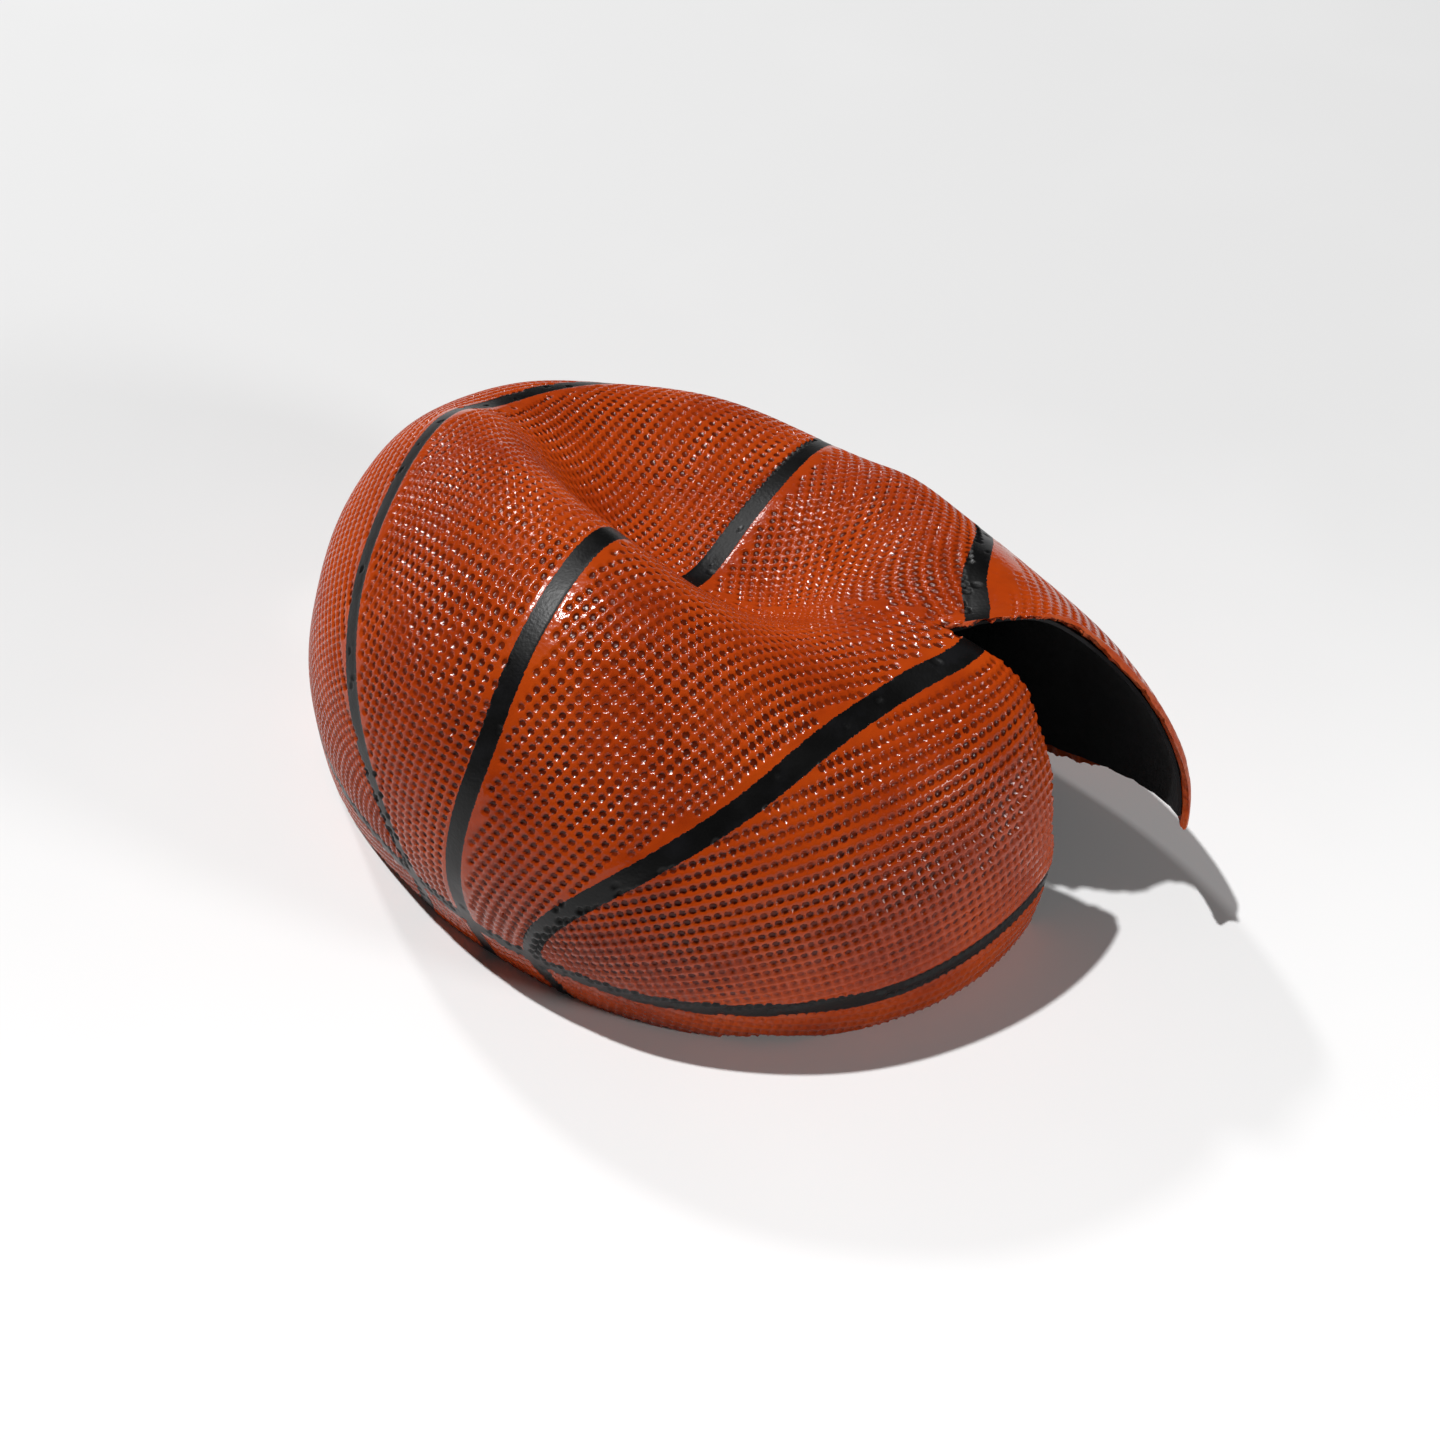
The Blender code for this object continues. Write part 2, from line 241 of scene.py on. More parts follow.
def place_skin(turn, fall):
    """Places in millimetres, in the part's frame, of the outer skin at these angles (any array shape)."""
    turn, fall = np.broadcast_arrays(turn, fall)
    here = ball_spots(turn.ravel(), fall.ravel())
    places = np.empty((len(here), 3))
    for start in range(0, len(here), SPOTS_AT_ONCE):
        some = here[start:start + SPOTS_AT_ONCE]
        plane = np.column_stack([np.ones(len(some)), some])
        places[start:start + SPOTS_AT_ONCE] = np.hstack([distances_cubed(some, SPOTS), plane]) @ WEIGHTS
    return (places - BOX_CENTRE).reshape(turn.shape + (3,))


def waves(angle, table):
    """Waves of a table added up at these angles."""
    return sum(size * np.sin(np.radians(rate * angle + phase)) for size, rate, phase in table)


# ---------------------------------------------------------------- seams, stripes and grain on the round ball

STRIPE_HALF = 3.2           # half the width of a painted stripe
SEAM_LONG, SEAM_SHORT = 78.0, 46.0    # the side seams' ovals round the ball's left and right poles
SEAM_FULLNESS = 1.88        # a little flatter than an ellipse, which would be 2
INNER_PITCH = (3.25, 3.40)  # pits along a row, and row from row, on the panels beside the middle seam
CAP_PITCH = (3.05, 3.90)    # the same on the side panels
LEFT_TURN = 2.0             # degrees by which the rows of the left inner panel are turned from its seam
RIGHT_TURN, RIGHT_BACK_TURN = -21.0, 24.0   # the same on the right, ahead and behind
TURN_LINE = -20.0           # where the right inner panel's rows change, along the middle seam
CAP_SLANT = 0.2             # the side panels' columns lean by this much for each millimetre up
CAP_SAG = 8.1e-6            # and their rows sag with the cube of the distance from the middle
FIRST_ROW = 2.6             # from the old equator to the side panels' first row, under its stripe
PIT_RIM, PIT_FLOOR = 1.46, 0.95     # a pit's radius at its rim and at its floor
PIT_DEPTH = 0.78
PIT_SNAP = 0.29             # how near the rim or floor a mesh point is drawn to it
SHOWING_THROUGH = 0.93      # pits under the stripes whose luck is above this show through the paint
LOW_WEAR = 0.45             # how much shallower the pits are beside the old equator and below it
LOW_WEAR_START, LOW_WEAR_REACH = 2.0, 9.0   # this wear is whole up to 2 mm above it and gone 9 mm higher
FLAP_WEAR = 0.5             # how much shallower they are on the flap
SNAP_STRENGTH = 0.85        # how much of the way a snapped point moves
DEPTH_LEAST, DEPTH_SPREAD = 0.8, 0.4    # the shallowest pit's share of the depth, and how far luck adds to it
PAINTED_DEPTH = 0.35        # the share of it that a pit under paint has
PAINT_EDGE = 0.9            # pits deeper in a smooth band than half a stripe less this may show through
UNEVEN_END = 0.9            # millimetres by which the grained parts end unevenly
BAND_HALF = 4.7             # half the width of the smooth band along a seam
MIDDLE_BAND_SHIFT = 1.5     # the bands lie to one side of their painted stripes
LEFT_BAND_SHIFT = 1.5
BACK_BAND_SHIFT = -2.5
BACK_BAND_EXTRA = 2.0       # how much wider half of the right side's band is behind
LOW_BAND_LOSS = 3.6         # how much narrower half of a side band is low down
LOW_BAND_TOP, LOW_BAND_EASE = 0.45, 0.25    # shares of the radius: where that begins, and over what height
TURN_LINE_HALF = 1.2        # half the width of the smooth line where the rows change
EQUATOR_BAND_HALF = 1.6     # the same along the old equator
BACK_GROWTH = 4             # what changes behind the crown is whole from a quarter of the radius back
GROOVE_DEPTH = 0.12         # the stripes lie a little lower than the grain
GROOVE_SLOPE = 0.7
EQUATOR_GROOVE_LOSS = 1.0   # the old equator's groove is this much narrower on each side
# The stripes sway beside their seams: (millimetres, rates along the turn and along the fall, phase).
STRIPE_SWAY = ((0.5, 3, 0, 40), (0.3, 7, 2, 0))
EQUATOR_STRIPE_LIFT = 0.8   # how far above the old equator its stripe lies
LEFT_STRIPE_INSET, RIGHT_STRIPE_INSET = -0.4, 0.7   # how far the side stripes lie inside their seams
BACK_STRIPE_OUTSET = 3.2    # how much further out the right one lies behind
PIT_SETTLING = 4            # rounds in which a side panel's column and row settle on each other
SMALLEST = 0.05             # divisors are kept above this
# Large numbers with nothing in common, so that neighbouring pits have unlike luck.
LUCK_RATES = (12.9898, 78.233, 37.719)
LUCK_SPREAD = 43758.5453


def directions(turn, fall):
    """Across, ahead and up parts of the unit direction of spots on the round ball."""
    turn, fall = np.radians(turn), np.radians(fall)
    low = np.sin(fall)
    return low * np.sin(turn), low * np.cos(turn), np.cos(fall)


def side_seam_distance(across, ahead, up):
    """Millimetres outward from the side seam, which is negative inside its oval."""
    polar = np.arccos(np.clip(np.abs(across), -1, 1))
    swing = np.arctan2(np.abs(up), ahead)
    cosine, sine = np.cos(swing), np.sin(swing)
    long, short = np.abs(cosine) / SEAM_LONG, sine / SEAM_SHORT
    oval = (long ** SEAM_FULLNESS + short ** SEAM_FULLNESS) ** (-1 / SEAM_FULLNESS)
    growth = short ** (SEAM_FULLNESS - 1) * cosine / SEAM_SHORT
    growth -= np.sign(cosine) * long ** (SEAM_FULLNESS - 1) * sine / SEAM_LONG
    slope = np.radians(-oval ** (SEAM_FULLNESS + 1) * growth) / np.maximum(np.sin(polar), SMALLEST)
    return BALL_RADIUS * (polar - np.radians(oval)) / np.sqrt(1 + slope ** 2)


def seam_distances(across, ahead, up):
    """Signed millimetres from the middle seam, the old equator and the side seams."""
    middle = BALL_RADIUS * np.arcsin(np.clip(across, -1, 1))
    equator = BALL_RADIUS * np.arcsin(np.clip(up, -1, 1))
    return middle, equator, side_seam_distance(across, ahead, up)


def chance(first, second, third):
    """A repeatable number from 0 to 1 for each pit."""
    value = np.sin(first * LUCK_RATES[0] + second * LUCK_RATES[1] + third * LUCK_RATES[2]) * LUCK_SPREAD
    return value - np.floor(value)


def share_behind(ahead):
    """From 0 at the crown and ahead of it to 1 well behind it."""
    return np.clip(-BACK_GROWTH * ahead, 0, 1)


def inner_pit(spot, side, half):
    """Direction of the nearest pit of an inner panel, and its column and row."""
    across, ahead, up = spot
    along, away = BALL_RADIUS * np.arctan2(ahead, np.abs(up)), BALL_RADIUS * np.arcsin(np.abs(across))
    right_turn = np.where(along < TURN_LINE, RIGHT_BACK_TURN, RIGHT_TURN)
    turned = np.radians(np.where(side < 0, LEFT_TURN, right_turn))
    cosine, sine = np.cos(turned), np.sin(turned)
    column = np.round((along * cosine + away * sine) / INNER_PITCH[0])
    row = np.round((away * cosine - along * sine) / INNER_PITCH[1])
    first, second = column * INNER_PITCH[0], row * INNER_PITCH[1]
    angle = (first * cosine - second * sine) / BALL_RADIUS
    lean = (first * sine + second * cosine) / BALL_RADIUS
    pit = side * np.sin(lean), np.cos(lean) * np.sin(angle), half * np.cos(lean) * np.cos(angle)
    return pit, column, row


def cap_pit(spot, side, half):
    """Direction of the nearest pit of a side panel, and its column and row."""
    across, ahead, up = spot
    polar, swing = np.arccos(np.clip(np.abs(across), 0, 1)), np.arctan2(np.abs(up), ahead)
    along, away = BALL_RADIUS * polar * np.cos(swing), BALL_RADIUS * polar * np.sin(swing)
    column = np.round((along - CAP_SLANT * away) / CAP_PITCH[0])
    row = np.maximum(np.round((away + CAP_SAG * along ** 3 - FIRST_ROW) / CAP_PITCH[1]), 0)
    for _ in range(PIT_SETTLING):
        away = row * CAP_PITCH[1] + FIRST_ROW - CAP_SAG * along ** 3
        along = column * CAP_PITCH[0] + CAP_SLANT * away
    polar, swing = np.hypot(along, away) / BALL_RADIUS, np.arctan2(away, along)
    pit = side * np.cos(polar), np.sin(polar) * np.cos(swing), half * np.sin(polar) * np.sin(swing)
    return pit, column, row


def bare_room(pit):
    """How far, in millimetres, a pit is inside the grained part of its panel."""
    middle, equator, side = seam_distances(*pit)
    low = np.clip((LOW_BAND_TOP - np.abs(pit[2])) / LOW_BAND_EASE, 0, 1)
    behind = share_behind(pit[1])
    shift = np.where(pit[0] < 0, LEFT_BAND_SHIFT, BACK_BAND_SHIFT * behind)
    side_half = BAND_HALF + np.where(pit[0] < 0, 0.0, BACK_BAND_EXTRA * behind) - LOW_BAND_LOSS * low
    room = np.minimum(np.abs(middle - MIDDLE_BAND_SHIFT) - BAND_HALF, np.abs(side - shift) - side_half)
    line_gap = np.abs(BALL_RADIUS * np.arctan2(pit[1], pit[2]) - TURN_LINE)
    room = np.where((pit[0] > 0) & (side > 0), np.minimum(room, line_gap - TURN_LINE_HALF), room)
    return np.minimum(room, np.abs(equator) - EQUATOR_BAND_HALF)


def grain(turn, fall):
    """Snaps spots to the pits' rims and floors; gives the new angles, the depth, and how much dirt and
    painted shade darken them in the pits.
    """
    spot = directions(turn, fall)
    side = np.where(spot[0] < 0, -1.0, 1.0)
    half = np.where(spot[2] < 0, -1.0, 1.0)
    in_cap = side_seam_distance(*spot) < 0
    panel = side + 2 * half + 4 * in_cap
    (inner, *inner_numbers), (cap, *cap_numbers) = inner_pit(spot, side, half), cap_pit(spot, side, half)
    pit = [np.where(in_cap, b, a) for a, b in zip(inner, cap)]
    luck = chance(*(np.where(in_cap, b, a) for a, b in zip(inner_numbers, cap_numbers)), panel)
    gap = BALL_RADIUS * np.sqrt(sum((a - b) ** 2 for a, b in zip(spot, pit)))
    room = bare_room(pit)
    under_paint = (room < PAINT_EDGE - STRIPE_HALF) & (luck > SHOWING_THROUGH)
    there = (room > UNEVEN_END * (luck - 0.5)) | (under_paint & (pit[2] > 0))
    there = there & (back_lip_distance(turn, fall) > BEVEL_WIDTH)
    rim_pull = np.abs(gap - PIT_RIM) < PIT_SNAP
    floor_pull = (np.abs(gap - PIT_FLOOR) < PIT_SNAP) & ~rim_pull
    target = np.where(rim_pull, PIT_RIM, np.where(floor_pull, PIT_FLOOR, gap))
    ratio = np.where(there, 1 + SNAP_STRENGTH * (target - gap) / np.maximum(gap, SMALLEST), 1.0)
    moved = [p + (s - p) * ratio for s, p in zip(spot, pit)]
    size = np.sqrt(sum(value ** 2 for value in moved))
    new_fall = np.degrees(np.arccos(np.clip(moved[2] / size, -1, 1)))
    new_turn = np.degrees(np.arctan2(moved[0], moved[1]))
    new_turn += 360 * np.round((turn - new_turn) / 360)
    share = np.clip((PIT_RIM - gap * ratio) / (PIT_RIM - PIT_FLOOR), 0, 1) * there
    worn = 1 - LOW_WEAR * np.clip(1 - (pit[2] * BALL_RADIUS - LOW_WEAR_START) / LOW_WEAR_REACH, 0, 1)
    worn = worn * np.where(in_cap & (pit[0] > 0), 1 - FLAP_WEAR * share_behind(pit[1]), 1.0)
    depth = PIT_DEPTH * np.where(under_paint, PAINTED_DEPTH, DEPTH_LEAST + DEPTH_SPREAD * luck) * worn * share
    return np.where(there, new_turn, turn), np.where(there, new_fall, fall), depth, share * worn


def paint_distance(turn, fall):
    """Millimetres inside the edge of the painted stripes; each stripe lies a little off its seam."""
    spot = directions(turn, fall)
    middle, equator, side = seam_distances(*spot)
    slip = sum(size * np.sin(np.radians(by_turn * turn + by_fall * fall + phase))
               for size, by_turn, by_fall, phase in STRIPE_SWAY)
    right_inset = RIGHT_STRIPE_INSET - BACK_STRIPE_OUTSET * share_behind(spot[1])
    side_slip = np.where(spot[0] > 0, right_inset, LEFT_STRIPE_INSET) + slip
    return np.maximum.reduce([
        STRIPE_HALF - np.abs(middle - slip),
        STRIPE_HALF - np.abs(equator - EQUATOR_STRIPE_LIFT - slip),
        STRIPE_HALF - np.abs(side + side_slip),
    ])


def groove_depth(turn, fall):
    """Millimetres by which the skin lies lower along the seams."""
    middle, equator, side = seam_distances(*directions(turn, fall))
    nearest = np.minimum(np.minimum(np.abs(middle), np.abs(side)), np.abs(equator) + EQUATOR_GROOVE_LOSS)
    return GROOVE_DEPTH * np.clip((STRIPE_HALF + GROOVE_SLOPE - nearest) / GROOVE_SLOPE, 0, 1)


# ---------------------------------------------------------------- the cover's skin

COLUMNS = 1280              # fine steps round the ball below the crown piece
SECTORS = 4
ROWS = 248                  # fine steps from the crown piece to the rim
COARSE = 8                  # fine steps to one step of the inner wall
CROWN_PIECE_FALL = 28.65    # where the crown piece ends and the sectors begin
CROWN_ROWS = 100
TORN_STEPS = 6              # steps through the thickness of a torn edge
RIPPLES = 14
RIPPLE_HEIGHT = 0.22
RIPPLE_RATE = 9.0           # how closely the ripples follow each other, in radians for each radius
LIP_WANDER_REACH = 6.0      # degrees of turn over which the lips' wander dies out
TEETH_REACH = 1.6           # the same for the lips' small teeth
WANDER_GROWTH, TEETH_GROWTH = 4, 12     # how fast both grow below the tear's top
# A ragged edge is drawn as (fine teeth, longer wander) in millimetres.
LIP_TEETH, RIM_TEETH, RAW_TEETH = (0.35, 0.5), (0.22, 0.35), (0.3, 0.3)
TEETH_BLUR = (0.25, 0.5, 0.25)
WANDER_BLUR = 17            # points over which the longer wander is smoothed
WANDER_GAIN = 2.5           # makes up for what the smoothing takes
RIM_ROUNDS = 3              # rounds in which the low parts of the rim are brought up to the floor
LEAST_RISE = 0.5            # millimetres for a degree up that these rounds count on at least
TORN_RAGGED = 0.22          # how far a torn face crumbles
FLAP_RAGGED = 0.75          # the same high on the back lip, where it is worst
FLAP_RAGGED_END, FLAP_RAGGED_EASE = 68, 8   # the fall where that worst part ends, and how softly
RAGGED_REACH = 3            # degrees of turn beside the lips that crumble
RIM_RAGGED_REACH = 4        # the same above the rim, in degrees of fall
INNER_RAGGED = 0.3          # the share of the crumbling that reaches the inner wall
GRIT = 0.4                  # how strong the fine grit on the crumbs is
CRUMB_BLUR = (0, 1, 1)      # crumbs are smoothed once through the thickness and twice along the edge
LIP_SLANT = 2.1             # degrees by which the back lip's torn face slants back into the flap
LIP_SLANT_START = 4.0       # degrees below the tear's top over which the slant grows
BEVEL_WIDTH, BEVEL_DEPTH = 4.5, 1.5   # the back lip's outer edge is torn off in a round slope
BEVEL_ROUNDNESS = 1.5       # 1 is a straight slope
RAW_WIDTH = 3.8             # how much of the slope shows raw rubber
BEVEL_START_FALL, BEVEL_EASE = 60.0, 10.0   # the slope is whole from here down, and this soft above
PER_DEGREE = math.radians(BALL_RADIUS)  # millimetres of the old ball's skin to a degree
CROWDING = 0.31             # a ring gets half the points where they would lie closer than this
NORMAL_STEP = 0.1           # degrees between the spots that give a normal
SMOOTH_ANGLE = 65           # edges sharper than this stay sharp
# Seeds of the random draws.
RIPPLE_SEED, FRONT_LIP_SEED, BACK_LIP_SEED, RIM_SEED = 7, 3, 4, 5
CRUMB_SEED, RAW_SEED, FRAY_SEED = 11, 13, 21


def ripples(turn, fall):
    """Soft unevenness of tired rubber."""
    random = np.random.default_rng(RIPPLE_SEED)
    spot = np.stack(directions(turn, fall), axis=-1)
    total = 0.0
    for _ in range(RIPPLES):
        heading = random.normal(size=3) * RIPPLE_RATE
        total = total + np.sin(spot @ heading + random.uniform(0, 2 * math.pi))
    return RIPPLE_HEIGHT * total / math.sqrt(RIPPLES)


def ragged(count, seed, fine, coarse):
    """A ragged line of so many points: fine teeth on longer waves."""
    random = np.random.default_rng(seed)
    teeth = np.convolve(random.normal(size=count + len(TEETH_BLUR) - 1), TEETH_BLUR, mode="valid")
    window = np.hanning(WANDER_BLUR) / np.hanning(WANDER_BLUR).sum()
    wander = np.convolve(random.normal(size=count + WANDER_BLUR - 1), window, mode="valid")
    return fine * teeth + coarse * WANDER_GAIN * wander


def side_angles():
    """Angles of the fine rows and columns below the crown piece, with the torn edges wandering."""
    level = CROWN_PIECE_FALL + (RIM_FALL - CROWN_PIECE_FALL) * np.arange(ROWS + 1) / ROWS
    turn = TEAR_TURN - 360.0 * np.arange(COLUMNS + 1) / COLUMNS
    turn, level = np.meshgrid(turn, level)
    below_top = np.clip((level - TEAR_TOP_FALL) / (RIM_FALL - TEAR_TOP_FALL), 0, 1)
    drift = np.minimum(1.0, WANDER_GROWTH * below_top) * waves(level, LIP_WAVES)
    toothed = np.minimum(1.0, TEETH_GROWTH * below_top)
    worn = turn.copy()
    for lip, sign, seed in ((TEAR_TURN, 1, FRONT_LIP_SEED), (TEAR_TURN - 360, -1, BACK_LIP_SEED)):
        near_lip = np.clip(1 - np.abs(turn - lip) / LIP_WANDER_REACH, 0, 1)
        near_edge = np.clip(1 - np.abs(turn - lip) / TEETH_REACH, 0, 1) * toothed
        teeth = ragged(ROWS + 1, seed, *LIP_TEETH)[:, None] / PER_DEGREE
        worn += sign * (near_lip * drift + near_edge * teeth)
    rim = RIM_FALL + waves(worn[-1], RIM_WAVES) + ragged(COLUMNS + 1, RIM_SEED, *RIM_TEETH) / PER_DEGREE
    for _ in range(RIM_ROUNDS):
        height = place_skin(worn[-1], rim)[:, 2]
        rise = place_skin(worn[-1], rim - 1.0)[:, 2] - height
        rim = rim + np.minimum(height, 0.0) / np.maximum(rise, LEAST_RISE)
    near_rim = np.clip((level - WANDER_START_FALL) / (RIM_FALL - WANDER_START_FALL), 0, 1)
    return worn, level + near_rim * (rim - RIM_FALL)


def unit(vectors):
    """The same directions with length 1."""
    return vectors / np.maximum(np.linalg.norm(vectors, axis=-1, keepdims=True), 1e-9)


def outward(turn, fall):
    """Unit normals of the smooth skin."""
    fall = np.maximum(fall, 3 * NORMAL_STEP)
    sideways = place_skin(turn - NORMAL_STEP, fall) - place_skin(turn + NORMAL_STEP, fall)
    downwards = place_skin(turn, fall + NORMAL_STEP) - place_skin(turn, fall - NORMAL_STEP)
    return unit(np.cross(sideways, downwards))


def back_lip_distance(turn, fall):
    """Millimetres from the back lip's edge, raised above the slope's start so that no slope is there."""
    above = np.clip((BEVEL_START_FALL - fall) / BEVEL_EASE, 0, 1)
    return (turn - TEAR_TURN + 360) * PER_DEGREE * np.sin(np.radians(fall)) + 2 * BEVEL_WIDTH * above


def slanted(turn, fall):
    """Turns of the inner wall: beside the back lip it lies further from the tear than the skin."""
    near_lip = np.clip(1 - (turn - TEAR_TURN + 360) / LIP_WANDER_REACH, 0, 1)
    below_top = np.clip((fall - TEAR_TOP_FALL) / LIP_SLANT_START, 0, 1)
    return turn + LIP_SLANT * near_lip * below_top


def dressed(turn, fall):
    """The skin's places with grain, grooves and ripples, the inner wall's places, paint, and the pits' dirt
    and painted shade.
    """
    turn, fall, depth, share = grain(turn, fall)
    places, normals = place_skin(turn, fall), outward(turn, fall)
    slope = np.clip(1 - back_lip_distance(turn, fall) / BEVEL_WIDTH, 0, 1)
    depth = depth + groove_depth(turn, fall) - ripples(turn, fall) + BEVEL_DEPTH * slope ** BEVEL_ROUNDNESS
    skin = places - normals * depth[..., None]
    inner_turn = slanted(turn, fall)
    deep = place_skin(inner_turn, fall) - outward(inner_turn, fall) * COVER_THICKNESS
    skin[..., 2] = np.maximum(skin[..., 2], 0.0)
    deep[..., 2] = np.maximum(deep[..., 2], 0.0)
    return skin, deep, paint_distance(turn, fall), share


def crumbs(steps, count):
    """Heights of the crumbs on a torn face, about 2 mm across, with finer grit on them."""
    grit = np.random.default_rng(CRUMB_SEED).normal(size=(steps, count))
    clumps = grit
    for axis in CRUMB_BLUR:
        clumps = clumps + np.roll(clumps, 1, axis=axis) + np.roll(clumps, -1, axis=axis)
    return clumps / clumps.std() + GRIT * grit


class Piece:
    """Collects the points and faces of one closed piece of the cover.

    Each point carries "paint", the millimetres inside a stripe's edge, and "pit", how much dirt and painted
    shade darken it in a pit.
    On a torn face "pit" is how far the face crumbles, which sets its bumps and the painted shade in its
    holes.
    """

    def __init__(self):
        self.points, self.paint, self.pit, self.faces = [], [], [], []
        self.count = 0

    def add(self, places, paint=0.0, pit=0.0):
        """Adds points and returns their numbers, in the places' own array shape."""
        shape = places.shape[:-1]
        self.points.append(places.reshape(-1, 3))
        self.paint.append(np.broadcast_to(paint, shape).ravel())
        self.pit.append(np.broadcast_to(pit, shape).ravel())
        first, self.count = self.count, self.count + int(np.prod(shape))
        return np.arange(first, self.count).reshape(shape)

    def wall(self, loop, skin, deep, inside, rough, paint):
        """Walls a loop of outer points down to the inner wall, and returns the numbers of its last ring."""
        outwards = unit(skin - inside)
        noise = crumbs(TORN_STEPS + 1, len(loop))
        above = loop
        for step in range(1, TORN_STEPS + 1):
            places = skin + (deep - skin) * step / TORN_STEPS
            loose = rough if step < TORN_STEPS else INNER_RAGGED * rough
            places = places + outwards * (loose * noise[step])[:, None]
            places[:, 2] = np.maximum(places[:, 2], 0.0)
            # How far the face crumbles goes in "pit", which sets the painted shade in the torn face's holes.
            below = self.add(places, paint, rough / FLAP_RAGGED)
            ring = np.stack([above, below, np.roll(below, -1), np.roll(above, -1)], axis=1)
            self.faces.extend(ring.tolist())
            above = below
        return above

    def build(self, name, torn_faces):
        """Makes the closed piece; torn_faces are the numbers of the faces that show raw rubber."""
        mesh = bpy.data.meshes.new(name)
        mesh.from_pydata((np.vstack(self.points) * MM).tolist(), [], self.faces)
        for label, blocks in (("paint", self.paint), ("pit", self.pit)):
            layer = mesh.attributes.new(label, "FLOAT", "POINT")
            layer.data.foreach_set("value", np.concatenate(blocks).astype(np.float32))
        mesh.materials.append(pebbled_rubber())
        mesh.materials.append(torn_rubber())
        slots = np.zeros(len(self.faces), dtype=np.int32)
        slots[torn_faces] = 1
        mesh.polygons.foreach_set("material_index", slots)
        piece = bpy.data.objects.new(name, mesh)
        bpy.context.scene.collection.objects.link(piece)
        smooth(piece)
        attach(piece, "root")
        return piece


def smooth(piece):
    """Shades a piece smooth, apart from its sharp edges."""
    bpy.ops.object.select_all(action="DESELECT")
    piece.select_set(True)
    bpy.context.view_layer.objects.active = piece
    bpy.ops.object.shade_smooth_by_angle(angle=math.radians(SMOOTH_ANGLE))
    piece.select_set(False)


def quads(numbers):
    """Faces over a grid of point numbers, outward where rows go down and columns go round."""
    corners = (numbers[:-1, :-1], numbers[:-1, 1:], numbers[1:, 1:], numbers[1:, :-1])
    return np.stack([corner.ravel() for corner in corners], axis=1).tolist()


def edge_of(grid):
    """The border of a grid in order: top, right, bottom, left."""
    return np.concatenate([grid[0, :-1], grid[:-1, -1], grid[-1, :0:-1], grid[:0:-1, 0]])


def side_piece(sector, skin, deep, paint, pit, rough, raw):
    """One closed sector of the cover, from the crown piece to the rim."""
    piece = Piece()
    numbers = piece.add(skin, paint, pit)
    piece.faces.extend(quads(numbers))
    first_torn = len(piece.faces)
    loop = edge_of(numbers)
    inner_rows = np.clip(np.arange(ROWS + 1), COARSE, ROWS - COARSE)
    columns = skin.shape[1] - 1
    inner_columns = np.clip(np.arange(columns + 1), COARSE, columns - COARSE)
    inside = skin[np.ix_(inner_rows, inner_columns)]
    last = piece.wall(loop, *(edge_of(values) for values in (skin, deep, inside, rough, paint)))
    walls = np.arange(first_torn, len(piece.faces))
    torn = np.concatenate([np.flatnonzero(raw[1:, 1:] & raw[:-1, 1:]), walls])
    below = dict(zip(loop.tolist(), last.tolist()))
    knots = np.ix_(np.arange(COARSE, ROWS, COARSE), np.arange(COARSE, columns, COARSE))
    below.update(zip(numbers[knots].ravel().tolist(), piece.add(deep[knots]).ravel().tolist()))
    for top in range(0, ROWS, COARSE):
        for left in range(0, columns, COARSE):
            edge = edge_of(numbers[top:top + COARSE + 1, left:left + COARSE + 1])
            piece.faces.append([below[number] for number in edge[::-1].tolist() if number in below])
    return piece.build("cover_side_%d" % (sector + 1), torn)


def crown_rings():
    """Falls and point counts of the crown piece's rings, from the crown down."""
    falls = CROWN_PIECE_FALL * np.arange(1, CROWN_ROWS + 1) / CROWN_ROWS
    counts = [COLUMNS]
    for fall in falls[-2::-1]:
        even = 2 * math.pi * math.sin(math.radians(fall)) * BALL_RADIUS / counts[-1]
        counts.append(counts[-1] // 2 if even < CROWDING else counts[-1])
    return falls, counts[::-1]


